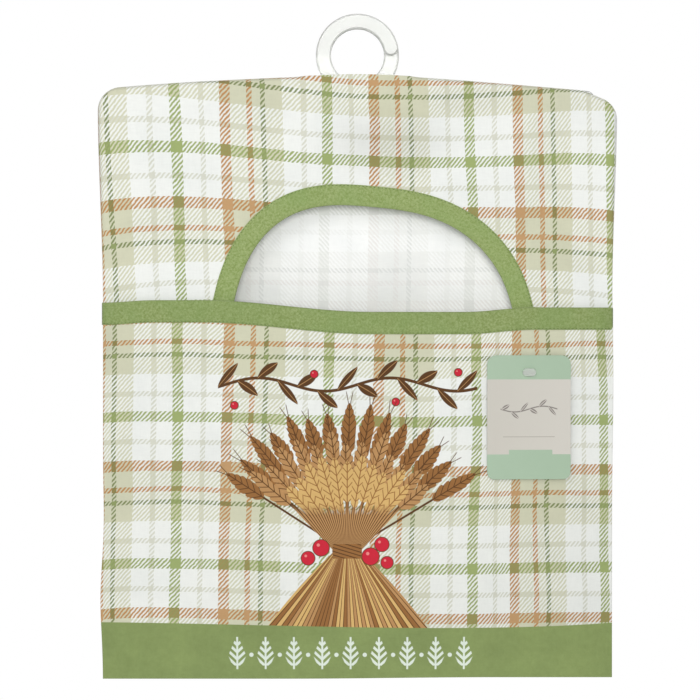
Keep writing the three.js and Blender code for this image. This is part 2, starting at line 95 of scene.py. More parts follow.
# The lip and the arch of the mouth
# A slope, here and below, is its height, where it starts and how long it is. The lip's end dip and the
# rise on the left count to the left.
LIP_BELOW_NECK = 130.7
LIP_DROP = (6.8, -90, 98)
LIP_RISE = (2.6, 62, 40)
LIP_END_DIP = (1.3, 118, 28)
LIP_TAPE = 12.9
LIP_OVERLAP = 12
LIP_SETTLE = 45
LIP_STACK = 3.1
LIP_END_EASE = 0.6
LIP_EASE_BELOW = 10
LIP_EASE_ASIDE = 9
LIP_REACH = 0.4
LIP_POINTS = 300
ARCH_TAPE = 12.2
ARCH_HALF = 82.4
ARCH_RISE = 67.4
ARCH_OFFSET = 8.8
ARCH_TAPER = 0.152
ARCH_TILT = 0.095
ARCH_POWER = 2.8
ARCH_FOOT_BELOW_LIP = 7
FOLD_INSET = 1.5
TAPE_STAND = 0.72

# How the hung cloth differs from the frame's even form
# A dip is its depth, its middle x and z and its half sizes.
# A swell of a side edge is how far out it goes, the z of its middle and its half size.
LEFT_RISE = (1.4, 20, 110)
RIGHT_DROOP = (1.0, 10, 110)
CORNER_DROOP = (3.2, 128, 14)
HEM_WAVE = (0.9, -40, 120)
HEM_LEVEL = 0.36
LEFT_SWELLS = [(1.5, -331, 26), (-0.5, -285, 22)]
RIGHT_SWELLS = [(0.8, -205, 45)]
SWELL_POWER = 12
FALL_IN = (2.4, 14, -80, 38, 18)
FLAT_BACK = (3.2, 9, -128, 75, 36)
FRONT_SEED = 11
BACK_SEED = 31

# Folds and creases: how deep they are, and the size of their cells across and down
FOLD_RELIEF = 0.9
FOLD_SHARE = 0.6
FOLD_CELLS = (27, 120)
FOLD_SLANT = 0.08
DRAPE_CELLS = (46, 60)
DRAPE_SLANT = -0.2
CRINKLE_RELIEF = 0.16
CRINKLE_CELLS = (8, 10)
PUCKER_RELIEF = 0.3
PUCKER_EASE = 1.5
SIDE_PUCKER = 4.5
SIDE_PUCKER_REACH = 5
HEM_PUCKER = 5.5
HEM_PUCKER_REACH = 6
SIDE_FREE = 10
HEM_FREE = 14
TOP_FREE = (1, 24, 60)


# Shape helpers

def smooth(share):
    share = np.clip(share, 0, 1)
    return share * share * (3 - 2 * share)


def slope(place, height, start, length):
    """0 before the start, the height after the length and smooth between."""
    return height * smooth((place - start) / length)


def dip(x, z, depth, middle_x, middle_z, half_x, half_z):
    """The depth in the middle, and down to almost nothing at twice the half sizes."""
    return depth * np.exp(-((x - middle_x) / half_x) ** 2 - ((z - middle_z) / half_z) ** 2)


def rounded(share):
    return (1 - (1 - np.clip(share, 0, 1)) ** ROUND_POWER) ** (1 / ROUND_POWER)


def lerp(a, b, share):
    return a + (b - a) * share


LATTICE = 96
LATTICE_COLUMN = 48
LATTICE_ROW = 80


def soft_noise(x, z, cell_x, cell_z, seed):
    """Smooth noise from -1 to 1 over the bag, with its features about one cell apart."""
    lattice = np.random.default_rng(seed).uniform(-1, 1, (LATTICE, LATTICE))
    column = np.asarray(x) / cell_x + LATTICE_COLUMN
    row = np.asarray(z) / cell_z + LATTICE_ROW
    c, r = np.floor(column).astype(int), np.floor(row).astype(int)
    across, up = smooth(column - c), smooth(row - r)
    c, r = c % (LATTICE - 1), r % (LATTICE - 1)
    low = lerp(lattice[r, c], lattice[r, c + 1], across)
    high = lerp(lattice[r + 1, c], lattice[r + 1, c + 1], across)
    return lerp(low, high, up)


def dents(x, z, cells, seed):
    """Smooth noise from 0 to 1."""
    return 0.5 - 0.5 * soft_noise(x, z, *cells, seed)


# Outline and depth of the bag

def half_width(z):
    share = (BAG_TOP - CORNER - z) / WAIST_DEPTH
    return lerp(SHOULDER_HALF, WAIST_HALF, smooth(share))


def shoulder_z(x):
    return BAG_TOP - SHOULDER_DROP * (np.abs(x) / SHOULDER_HALF) ** SHOULDER_POWER


def hang_z(x):
    """How much higher or lower than the frame's the top edge of the hung cloth lies."""
    return slope(-x, *LEFT_RISE) - (slope(x, *RIGHT_DROOP) + slope(x, *CORNER_DROOP))


def top_edge_z(x):
    corner_x = SHOULDER_HALF - CORNER
    into = np.clip(np.abs(x) - corner_x, 0, CORNER)
    rise = np.sqrt(CORNER ** 2 - into ** 2)
    return shoulder_z(np.minimum(np.abs(x), corner_x)) - CORNER + rise + hang_z(x)


def hem_z(x):
    return BAG_BOTTOM + (slope(x, *HEM_WAVE) - HEM_LEVEL)


def lip_z(x):
    """The fold of the lip's tape: level on the left, down to the middle, and a little up again."""
    down = slope(x, *LIP_DROP) - slope(x, *LIP_RISE)
    return BAG_TOP - LIP_BELOW_NECK - down - slope(-x, *LIP_END_DIP)


def bag_depth(x, z, belly):
    """How far the cloth's outer face stands from the seam plane on a side with this belly."""
    below = BAG_TOP - z
    reach = np.abs(x)
    half = half_width(z)
    lens_share = smooth((below - HANGER_ZONE) / LENS_ZONE)
    belly_share = smooth((below - HANGER_ZONE) / BELLY_ZONE)
    slot_share = smooth((reach - SLOT_HALF) / SLOT_BLEND)
    close_share = np.clip((z - BAG_BOTTOM) / BOTTOM_CLOSE, 0, 1)
    full = lerp(RIDGE_HALF_DEPTH, belly, belly_share)
    to_side = np.maximum(half - reach, 0)
    to_top = np.maximum(top_edge_z(x) - z, 0)
    to_seam = np.minimum(to_side, np.maximum(z - hem_z(x), 0))
    to_seam = np.where(slot_share > 0, np.minimum(to_seam, to_top), to_seam)
    seam = rounded(to_seam / SEAM_ROUND) * lerp(PRESSED_SEAM_SHARE, 1, lens_share)
    base = SEAM_GAP + CLOTH * seam
    boxy = rounded(to_side / EDGE_ROUND)
    lens = 1 - np.minimum(reach / half, 1) ** LENS_POWER
    ridge = rounded(to_top / RIDGE_ROUND)
    foot = 1 - (1 - close_share) ** LENS_POWER
    return base + (full - base) * lerp(boxy, lens, lens_share) * lerp(1, ridge, slot_share) * foot


def relief(x, z, seed):
    """How far folds, crinkles and the puckers of the seams sink below the bag's even form."""
    folds = dents(x + FOLD_SLANT * z, z, FOLD_CELLS, seed)
    drape = dents(x + DRAPE_SLANT * z, z, DRAPE_CELLS, seed + 1)
    crinkle = dents(x, z, CRINKLE_CELLS, seed + 2)
    to_side = half_width(z) - np.abs(x)
    to_hem = z - hem_z(x)
    side_pucker = np.exp(-to_side / SIDE_PUCKER_REACH) * dents(x * 0, z, (1, SIDE_PUCKER), seed + 3)
    hem_pucker = np.exp(-to_hem / HEM_PUCKER_REACH) * dents(x, z * 0, (HEM_PUCKER, 1), seed + 4)
    side_pucker = side_pucker * smooth(to_side / PUCKER_EASE)
    hem_pucker = hem_pucker * smooth(to_hem / PUCKER_EASE)
    away = smooth(to_side / SIDE_FREE) * smooth(to_hem / HEM_FREE)
    fold = FOLD_RELIEF * (FOLD_SHARE * folds + (1 - FOLD_SHARE) * drape)
    sunk = (fold + CRINKLE_RELIEF * crinkle) * away
    return (sunk + PUCKER_RELIEF * (side_pucker + hem_pucker)) * slope(BAG_TOP - z, *TOP_FREE)


def back_depth(x, z):
    return bag_depth(x, z, BACK_BELLY) - relief(x, z, BACK_SEED) - dip(x, z, *FLAT_BACK)


def yoke_depth(x, z):
    return bag_depth(x, z, FRONT_BELLY) - relief(x, z, FRONT_SEED) - dip(x, z, *FALL_IN)


def pouch_depth(x, z):
    below = lip_z(x) - z - LIP_TAPE
    return yoke_depth(x, z) + LIP_STACK * (1 - smooth(below / LIP_SETTLE)) * seam_ease(x, z)


def seam_ease(x, z):
    """1 in the panel, and less at the side seams, where the pouch is sewn to the yoke and the back."""
    below = smooth((lip_z(x) - z - LIP_TAPE) / LIP_EASE_BELOW)
    inside = smooth((half_width(z) - np.abs(x)) / LIP_EASE_ASIDE)
    return 1 - lerp(LIP_END_EASE, 1, below) * (1 - inside)


# Meshes

def mesh_object(name, points, faces, body="bag", materials=()):
    mesh = bpy.data.meshes.new(name)
    mesh.from_pydata((np.asarray(points) * MM).tolist(), [], faces)
    mesh.validate()
    mesh.shade_smooth()
    for material in materials:
        mesh.materials.append(material)
    piece = bpy.data.objects.new(name, mesh)
    bpy.context.scene.collection.objects.link(piece)
    if body:
        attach(piece, body)
    return piece


def grid_faces(rows, columns, flip=False):
    index = np.arange(rows * columns).reshape(rows, columns)
    quads = [index[:-1, :-1], index[:-1, 1:], index[1:, 1:], index[1:, :-1]]
    if flip:
        quads.reverse()
    return np.stack(quads, -1).reshape(-1, 4).tolist()


def thicken(piece, thickness, inner_material=0):
    solid = piece.modifiers.new("thickness", "SOLIDIFY")
    solid.thickness = thickness * MM
    solid.offset = -1
    solid.use_even_offset = True
    solid.material_offset = inner_material


def apply_modifiers(piece):
    """Replaces the piece's mesh with what its modifiers make of it."""
    bpy.context.view_layer.update()
    graph = bpy.context.evaluated_depsgraph_get()
    made = bpy.data.meshes.new_from_object(piece.evaluated_get(graph), depsgraph=graph)
    piece.modifiers.clear()
    piece.data = made


def laid_flat(x, y, z, depth):
    """Where a point would be if the side and the top of its panel were not turned in to the seams."""
    inner_x = np.clip(x, EDGE_ROUND - half_width(z), half_width(z) - EDGE_ROUND)
    inner_z = np.minimum(z, top_edge_z(x) - RIDGE_ROUND)
    aside = np.maximum(depth(inner_x, z) - np.abs(y), 0)
    up = np.maximum(depth(x, inner_z) - np.abs(y), 0)
    return x + np.sign(x) * aside * (inner_x != x), z + up * (inner_z != z)


def store_print(piece, coordinates, depth):
    """Keeps the place of each point in the print, in repeats, with the mesh."""
    mesh = piece.data
    points = np.empty(len(mesh.vertices) * 3)
    mesh.vertices.foreach_get("co", points)
    points = points.reshape(-1, 3) / MM
    across, down = coordinates(*laid_flat(points[:, 0], points[:, 1], points[:, 2], depth))
    layer = mesh.attributes.get("print") or mesh.attributes.new("print", "FLOAT_VECTOR", "POINT")
    layer.data.foreach_set("vector", np.stack([across, down, down * 0], -1).ravel())


# The plaid's place on each panel

# across and down count repeats of the plaid. Both drift over the cloth, which was cut a little off
# its pattern and is pulled by its hanger and its tapes. The terms of a drift are for decimetres.
DECIMETRE = 100
YOKE_ACROSS = {"start": 1.26, "side": 1.174, "side2": 0.033, "low": -0.037, "twist": 0.009}
YOKE_DOWN = {
    "start": -0.517, "side": -0.061, "side2": 0.097, "side3": 0.012, "side4": -0.023,
    "low": 1.069, "low2": 0.058, "twist": 0.02, "fade": -0.058,
}
POUCH_ACROSS = {
    "start": 1.218, "side": 1.164, "side2": 0.039, "side3": 0.0155,
    "low": 0.0265, "twist": -0.008, "fade": -0.014,
}
POUCH_DOWN = {
    "start": 0.3097, "side": -0.0197, "side2": 0.0288, "side3": 0.009, "side4": -0.0109,
    "low": 1.171, "twist": -0.0034,
}
POUCH_LEVEL = -165
TUCK = (0.044, 70, 22)
PRINT_SWAY = 0.006
YOKE_SWAY_CELLS = (30, 34)
YOKE_SWAY_SEED = 7
POUCH_SWAY_CELLS = (34, 30)
POUCH_SWAY_SEED = 9
# A pull is how far a crease draws the print to the right, and where, in the way of a dip.
YOKE_PULLS = [
    (1.3, -104, -75, 16, 70),
    (-0.9, -74, -72, 12, 34),
    (1.6, -20, -34, 16, 30),
    (-1.8, 8, -90, 16, 34),
    (-0.8, 64, -60, 20, 50),
]
POUCH_PULLS = [
    (1.7, 68, -226, 12, 34),
    (-1.3, 108, -172, 9, 22),
    (-1.3, 108, -274, 9, 26),
    (0.7, 90, -262, 7, 26),
    (-1, 143, -168, 12, 24),
    (1.2, -103, -280, 14, 70),
]
REPEAT = 85.3
GREEN_SHARE = 0.0335
DARK_SHARE = 0.6135
BACK_GREEN_X = -20.6
BACK_DARK_Z = -139.4
BACK_PULL = 1.6
BACK_PULL_CELLS = (110, 90)


def drift(x, below, start, side, low, side2=0, side3=0, side4=0, low2=0, twist=0, fade=0):
    """The count of repeats at x, this far below the top of the panel's print."""
    x = x / DECIMETRE
    below = below / DECIMETRE
    level = start + (side + (side2 + (side3 + side4 * x) * x) * x) * x
    return level + (low + low2 * below + twist * x + fade * x * x) * below


def pulled(x, z, pulls):
    """How far creases pull the print aside, in repeats."""
    return -sum(dip(x, z, *pull) for pull in pulls) / REPEAT


def yoke_print(x, z):
    below = BAG_TOP - z
    sway = PRINT_SWAY * soft_noise(x, z, *YOKE_SWAY_CELLS, YOKE_SWAY_SEED)
    across = drift(x, below, **YOKE_ACROSS) + sway + pulled(x, z, YOKE_PULLS)
    return across, drift(x, below, **YOKE_DOWN) - sway


def pouch_print(x, z):
    below = POUCH_LEVEL - z
    sway = PRINT_SWAY * soft_noise(x, z, *POUCH_SWAY_CELLS, POUCH_SWAY_SEED)
    across = drift(x, below, **POUCH_ACROSS) + slope(x, *TUCK) + sway + pulled(x, z, POUCH_PULLS)
    return across, drift(x, below, **POUCH_DOWN) + sway


def back_print(x, z):
    """The back was cut upside down from the same cloth."""
    pull = BACK_PULL * soft_noise(x, z, *BACK_PULL_CELLS, BACK_SEED)
    across = (x - BACK_GREEN_X + pull) / REPEAT + GREEN_SHARE
    return across, (z - BACK_DARK_Z - pull) / REPEAT + DARK_SHARE


# Material helpers

def linear(code):
    """A colour for a shader socket from its usual six-digit code."""
    values = [int(code[i:i + 2], 16) / 255 for i in (0, 2, 4)]
    return [v / 12.92 if v <= 0.04045 else ((v + 0.055) / 1.055) ** 2.4 for v in values] + [1]


class Field:
    """A number that varies over a surface, worked out by nodes, so that a print is written as sums."""

    def __init__(self, tree, socket):
        self.tree = tree
        self.socket = socket

    def made(self, operation, *others):
        node = self.tree.nodes.new("ShaderNodeMath")
        node.operation = operation
        for slot, value in enumerate((self, *others)):
            if isinstance(value, Field):
                self.tree.links.new(value.socket, node.inputs[slot])
            else:
                node.inputs[slot].default_value = value
        return Field(self.tree, node.outputs[0])

    def __rsub__(self, first):
        return (self * -1).made("ADD", first)

    def share(self):
        """The same, held between 0 and 1."""
        return self.least(1).most(0)

    def under(self, edge, blur):
        """1 where this is less than the edge, 0 where it is more, with a blurred border."""
        return ((edge - self) / blur + 0.5).share()

    def over(self, edge, blur):
        """1 where this is more than the edge, 0 where it is less, with a blurred border."""
        return ((self - edge) / blur + 0.5).share()

    def between(self, low, high, blur):
        return self.over(low, blur) * self.under(high, blur)

    def within(self, half):
        """1 this far to each side of 0, with the sharp border of a printed line."""
        return abs(self).under(half, INK_EDGE)

    def hashed(self, seed):
        """A random number from 0 to 1 for each whole number."""
        node = self.tree.nodes.new("ShaderNodeTexWhiteNoise")
        node.noise_dimensions = "1D"
        self.tree.links.new((self + seed).socket, node.inputs["W"])
        return Field(self.tree, node.outputs["Value"])


def sum_method(operation):
    return lambda field, *others: field.made(operation, *others)


# The sums that a field can do, by the names that the prints below call them
FIELD_SUMS = {
    "__add__": "ADD",
    "__sub__": "SUBTRACT",
    "__mul__": "MULTIPLY",
    "__rmul__": "MULTIPLY",
    "__truediv__": "DIVIDE",
    "__pow__": "POWER",
    "__abs__": "ABSOLUTE",
    "fract": "FRACT",
    "floor": "FLOOR",
    "sine": "SINE",
    "root": "SQRT",
    "least": "MINIMUM",
    "most": "MAXIMUM",
    "angle_from": "ARCTAN2",
}
for name, operation in FIELD_SUMS.items():
    setattr(Field, name, sum_method(operation))


def distance(x, z):
    """How far a place is from the origin."""
    return (x * x + z * z).root()


class Surface:
    """A material in the making: its shader, and the places that its patterns are laid out on."""

    def __init__(self, name, roughness, **values):
        self.material = bpy.data.materials.new(name)
        self.material.use_nodes = True
        self.tree = self.material.node_tree
        self.nodes = self.tree.nodes
        self.links = self.tree.links
        self.shader = self.nodes["Principled BSDF"]
        self.plug(self.shader, Roughness=roughness, **values)
        self.place = self.node("TexCoord").outputs["Object"]

    def field(self, socket):
        return Field(self.tree, socket)

    def plug(self, node, **inputs):
        """Gives inputs of a node their values: colour codes, numbers, fields or outputs of nodes."""
        for name, value in inputs.items():
            socket = node.inputs[name.replace("_", " ")]
            if isinstance(value, str):
                socket.default_value = linear(value)
            elif isinstance(value, (int, float, tuple)):
                socket.default_value = value
            else:
                self.links.new(value.socket if isinstance(value, Field) else value, socket)
        return node

    def node(self, kind, **inputs):
        return self.plug(self.nodes.new("ShaderNode" + kind), **inputs)

    def parts(self, vector):
        return [self.field(output) for output in self.node("SeparateXYZ", Vector=vector).outputs]

    def millimetres(self):
        """The three coordinates of a point of the piece at rest, in millimetres."""
        return [part * (1 / MM) for part in self.parts(self.place)]

    def print_place(self):
        node = self.node("Attribute")
        node.attribute_name = "print"
        return self.parts(node.outputs["Vector"])[:2]

    def noise(self, size, detail=2, stretch=(1, 1, 1), roughness=0.5):
        """Noise from 0 to 1 with features of about this many millimetres."""
        place = self.node("Mapping", Vector=self.place, Scale=stretch).outputs["Vector"]
        scale = 1 / (size * MM)
        node = self.node("TexNoise", Vector=place, Scale=scale, Detail=detail, Roughness=roughness)
        return self.field(node.outputs["Fac"])

    def mixed(self, below, above, share, blend="MIX"):
        """One colour over another."""
        node = self.node("Mix")
        node.data_type = "RGBA"
        node.blend_type = blend
        return self.plug(node, A=below, B=above, Factor=share).outputs["Result"]

    def toned(self, colour, value=1, saturation=1):
        node = self.node("HueSaturation", Color=colour, Value=value, Saturation=saturation)
        return node.outputs["Color"]

    def shaded(self, colour, amount, low, high):
        """The colour made darker or lighter as the amount goes from 0 to 1."""
        return self.toned(colour, amount * (high - low) + low)

    def banded(self, amount, stops):
        """A colour ramp with hard steps. stops are pairs of the share where a colour ends and its code."""
        node = self.node("ValToRGB", Fac=amount)
        ramp = node.color_ramp
        ramp.interpolation = "CONSTANT"
        start = 0
        for i, (end, code) in enumerate(stops):
            element = ramp.elements[i] if i < 2 else ramp.elements.new(start)
            element.position = start
            element.color = linear(code)
            start = end
        return node.outputs["Color"]

    def finished(self, colour, height, depth):
        """The material in its colour, raised by height, whose 1 is this many millimetres."""
        raised = self.node("Bump", Distance=depth * MM, Height=height)
        self.plug(self.shader, Base_Color=colour, Normal=raised.outputs["Normal"])
        return self.material

    def weave(self, pitch):
        """The height of a plain weave with this many millimetres from thread to thread."""
        x, y, z = self.millimetres()
        turn = math.pi / pitch
        across = (x * turn).sine()
        up = (z * turn).sine()
        over = across * up
        return abs(over).root() * 0.5 + over.over(0, 0.6) * 0.2 + 0.3 * self.noise(pitch * 1.7, 1)


# Cotton with the plaid print

WHITE = "F2F4F0"
PALE = "D9DACC"
SAGE = "D4D4BA"
GREEN = "9AA968"
DARK_GREEN = "818C5C"
TERRACOTTA = "BC8A54"
PLAID = [
    (0.067, GREEN),
    (0.189, WHITE),
    (0.224, PALE),
    (0.334, WHITE),
    (0.404, TERRACOTTA),
    (0.51, SAGE),
    (0.545, TERRACOTTA),
    (0.598, SAGE),
    (0.629, DARK_GREEN),
    (0.744, SAGE),
    (0.862, WHITE),
    (0.897, PALE),
    (1, WHITE),
]
# Where two bands cross, their inks lie over each other. These are the colours of the crossings and
# how far they cover the lines of the twill.
GREEN_ON_GREEN = ("A2B174", 0.9)
TERRACOTTA_ON_TERRACOTTA = ("C6A074", 0.85)
GREEN_ON_TERRACOTTA = ("97945E", 0.8)
DARK_ON_GREEN = ("9AA76E", 0.7)
DARK_ON_TERRACOTTA = ("8C8552", 0.75)
TWILL_ACROSS = 34
TWILL_DOWN = 31
TWILL_BLUR = 0.5
TWILL_WOBBLE = 0.3
TWILL_WOBBLE_SIZE = 2.6
BAND_WOBBLE = 0.005
BAND_WOBBLE_SIZE = 5
INK_SPREAD = 0.08
THREAD_PITCH = 0.42
WEAVE_DEPTH = 0.06
SLUB = 0.9
SLUB_STRETCH = 0.18
SLUB_TONE = 0.07
# Bluish-grey clouds at random places, multiplied into the cotton's colour: painted shade of soft, shallow
# creases
SHADE_CLOUD = "BCC6CB"
SHADE_CLOUD_SIZE = 30
SHADE_CLOUD_TONE = 0.12
COTTON_TONE = 0.935
COTTON_GLOSS = {"Specular_IOR_Level": 0.2, "Sheen_Weight": 0.15, "Sheen_Roughness": 0.5}
WRONG_SIDE = "FBFCFA"
WRONG_SIDE_GLOSS = {"Specular_IOR_Level": 0.15, "Sheen_Weight": 0.1, "Sheen_Roughness": 0.5}
SHOW_THROUGH = 0.28
GHOST_SATURATION = 0.3

# The soft shade on the yoke, where it falls in under the ring and the arms of the hangers, and on the
# pouch, where it grows towards the hem and to the right
SOFT_SHADE = "BCBCB8"
RING_SHADE = (0.3, 17, -66, 52, 27)
ARM_SHADE = (0.16, 62, -41, 38, 15)
POUCH_SHADE = 0.07
HEM_SHADE = 0.2
HEM_SHADE_SLOPE = 0.0007
HEM_SHADE_Z = -285
HEM_SHADE_RUN = 170


def ink_masks(surface, share):
    """Where the green, the terracotta and the dark green bands are."""
    inks = {GREEN: "FF0000", TERRACOTTA: "00FF00", DARK_GREEN: "0000FF"}
    masks = surface.banded(share, [(end, inks.get(code, "000000")) for end, code in PLAID])
    return surface.parts(masks)


def plaid_colour(surface):
    """The plaid: bands across and bands down, which take turns along the slanted lines of a twill."""
    across, down = surface.print_place()
    shift = (surface.noise(BAND_WOBBLE_SIZE, 3) - 0.5) * BAND_WOBBLE * 2
    across_share = (across + shift).fract()
    down_share = (down + shift).fract()
    warp = surface.banded(across_share, PLAID)
    weft = surface.banded(down_share, PLAID)
    wobble = (surface.noise(TWILL_WOBBLE_SIZE, 2) - 0.5) * TWILL_WOBBLE * 2
    line = abs((across * TWILL_ACROSS + down * TWILL_DOWN + wobble).fract() - 0.5) * 2
    colour = surface.mixed(weft, warp, line.over(0.5, TWILL_BLUR))
    green, rust, dark = ink_masks(surface, across_share)
    green_down, rust_down, dark_down = ink_masks(surface, down_share)
    colour = surface.mixed(colour, TERRACOTTA, rust.most(rust_down) * INK_SPREAD)
    crossings = [
        (green * green_down, GREEN_ON_GREEN),
        (rust * rust_down, TERRACOTTA_ON_TERRACOTTA),
        (green * rust_down + rust * green_down, GREEN_ON_TERRACOTTA),
        (dark * green_down + green * dark_down + dark * dark_down, DARK_ON_GREEN),
        (dark * rust_down + rust * dark_down, DARK_ON_TERRACOTTA),
    ]
    for crossing, (code, cover) in crossings:
        colour = surface.mixed(colour, code, crossing * cover)
    return colour


def finish_cotton(surface, colour, tone=COTTON_TONE):
    """The cotton's own grain: slubs, a little unevenness in the ink, the weave, and random clouds of
    painted shade that stand in for soft creases.
    """
    level_slub = surface.noise(SLUB, 2, (SLUB_STRETCH, 1, 1))
    upright_slub = surface.noise(SLUB, 2, (1, 1, SLUB_STRETCH))
    slub = upright_slub * 0.5 + level_slub * 0.5
    shade_cloud = surface.noise(SHADE_CLOUD_SIZE, 3).over(0.56, 0.34)
    uneven = surface.shaded(colour, slub, tone - SLUB_TONE, tone + SLUB_TONE)
    # painted shade: bluish-grey clouds for the soft shade of shallow creases
    colour = surface.mixed(uneven, SHADE_CLOUD, shade_cloud * SHADE_CLOUD_TONE, "MULTIPLY")
    return surface.finished(colour, surface.weave(THREAD_PITCH), WEAVE_DEPTH)


def cotton(name):
    surface = Surface(name, 0.9, **COTTON_GLOSS)
    return finish_cotton(surface, plaid_colour(surface))


def soft_patch(x, z, depth, middle_x, middle_z, half_x, half_z):
    """The depth in the middle, and down to 0 a little way past the half sizes."""
    share = distance((x - middle_x) / half_x, (z - middle_z) / half_z).under(0.55, 0.9)
    return share * share * (3 - share * 2) * depth


def yoke_cotton(name):
    """The yoke's cloth is in soft shade where it falls in under the hangers."""
    surface = Surface(name, 0.9, **COTTON_GLOSS)
    x, y, z = surface.millimetres()
    shade = soft_patch(x, z, *RING_SHADE).most(soft_patch(x, z, *ARM_SHADE))
    colour = surface.mixed(plaid_colour(surface), SOFT_SHADE, shade, "MULTIPLY")
    return finish_cotton(surface, colour)


def cotton_wrong_side(name):
    surface = Surface(name, 0.95, **WRONG_SIDE_GLOSS)
    grey = surface.toned(plaid_colour(surface), saturation=GHOST_SATURATION)
    ghost = surface.mixed(WRONG_SIDE, grey, SHOW_THROUGH)
    # The wrong side keeps a tone of 1, lighter than the printed face's COTTON_TONE: painted light that
    # lifts the shade inside the mouth
    return finish_cotton(surface, ghost, 1)


# The print of the pouch: a wheat sheaf with berries, a sprig above it, and a green band at the hem

BAND_TOP = -346.2
BAND_SLOPE = 1.68
BAND_SAG = 0.97
BAND_CURVE = 0.72
BAND_GREEN = "7F8F57"
BAND_LIGHT = "8A9B62"
BAND_WHITE = "DCE6DA"
TAN = "B98D5C"
LIGHT_TAN = "D6B070"
MID_BROWN = "96683B"
DARK_BROWN = "5C3D22"
RED = "C9283B"
INK_EDGE = 0.25

# The sheaf is laid out round its tie. Each fan of ears has its count of ears, its spread to each side,
# where the ears start and end, half their width, a seed and its two colours.
SHEAF_X = -6
SHEAF_TIE_Z = -302
FANS = [
    (15, 1.08, 50, 87, 4.3, 3, MID_BROWN, DARK_BROWN),
    (13, 0.98, 35, 73, 4.6, 17, TAN, DARK_BROWN),
    (11, 0.82, 21, 58, 4.9, 8, LIGHT_TAN, MID_BROWN),
]
NUDGE_SEED = 31.7
FOOT_STAGGER = 9
TIP_STAGGER = 13
GRAIN = 4.4
GRAIN_SLANT = 1.2
GROOVE_HALF = 0.28
STALK_HALF = 0.6
AWN_HALF = 0.22
AWN_SPREAD = 6
STEM_LINES = 24
STEM_SEED = 5
STEM_FOCUS = 9
STEMS_HALF = 7.5
STEMS_WIDEN = 1.05
STEMS_CURL = 0.004
NECK_WIDEN = 0.95
NECK_TOP = 24
TIE_HALF_HEIGHT = 4.2
TIE_HALF = 8.6
STRAND_PITCH = 2.1

# Berries: x, z and radius. Those of the tie are placed from it.
BERRY_RIM = 0.45
BERRY_SHINE = "E88A86"
SPRIG_BERRIES = [(-71, -218, 2.1), (-25, -200, 2.1), (22, -216, 2.1), (58, -199, 2.1)]
TIE_BERRIES = [(-15, 2, 4.6), (-22.5, -4, 3.8), (13.5, -3, 4.8), (20, 4, 4), (23, -6.5, 3.4)]

# The row of ferns on the band
FERN_PITCH = 16.4
FERN_X = -4
FERN_Z = -361.5
FERN_ROW = (-76, 68)
FERN_STEM_HALF = 0.55
FERN_HALF_HEIGHT = 9.5
FROND_REACH = 5.2
FROND_TAPER = 0.42
FROND_SLANT = 0.95
FROND_PITCH = 4.2
FROND_LOW = -7.4
FROND_HIGH = 7.6
DOT_RADIUS = 1.25

# The sprigs: their ends, level, wave, the pitch and the size of their leaves
POUCH_SPRIG = {"low": -80.5, "high": 69, "level": -206, "wave": 76, "pitch": 11.5, "size": 8.2}
TAG_SPRIG = {"low": -16.5, "high": 16.5, "level": 0, "wave": 33, "pitch": 5.4, "size": 3.2}
LEAF_SLANT = 0.72
LEAF_OFF_STEM = 0.62
LEAF_HALF = 0.3
LEAF_RIB = 0.16
STEM_HALF = 0.11
STEM_WAVE = 0.05


def ears(x, z, count, spread, start, end, half, seed):
    """A fan of wheat ears round the origin: the masks of the ears, their grooves and their stalks."""
    angle = x.angle_from(z)
    radius = distance(x, z)
    cell_angle = 2 * spread / count
    cell = angle / cell_angle + count / 2
    number = cell.floor()
    pick = number.hashed(seed)
    nudge = number.hashed(seed + NUDGE_SEED)
    aside = ((cell.fract() - 0.5) + (nudge - 0.5) * 0.3) * cell_angle * radius
    foot = pick * FOOT_STAGGER + start
    tip = end - nudge * TIP_STAGGER
    share = (radius - foot) / (tip - foot)
    grain = ((radius - abs(aside) * GRAIN_SLANT) / GRAIN + pick).fract()
    swell = (grain * math.pi).sine() * 0.22 + 0.9
    taper = (share * 4).share() ** 0.5 * (((1 - share) * 2.2).share() ** 0.6)
    inside = angle.between(-spread, spread, 0.01)
    ear = aside.within(taper * swell * half) * share.between(0, 1, 0.02)
    groove = grain.under(0.16, 0.08).most(aside.within(GROOVE_HALF))
    stalk = aside.within(STALK_HALF) * share.under(0.2, 0.02) * radius.over(4, 1)
    awn = (abs(aside) - (share - 0.9) * AWN_SPREAD).within(AWN_HALF)
    awn = awn * share.over(0.9, 0.02) * share.under(1.22, 0.05)
    return ear * inside, groove, stalk.most(awn) * inside


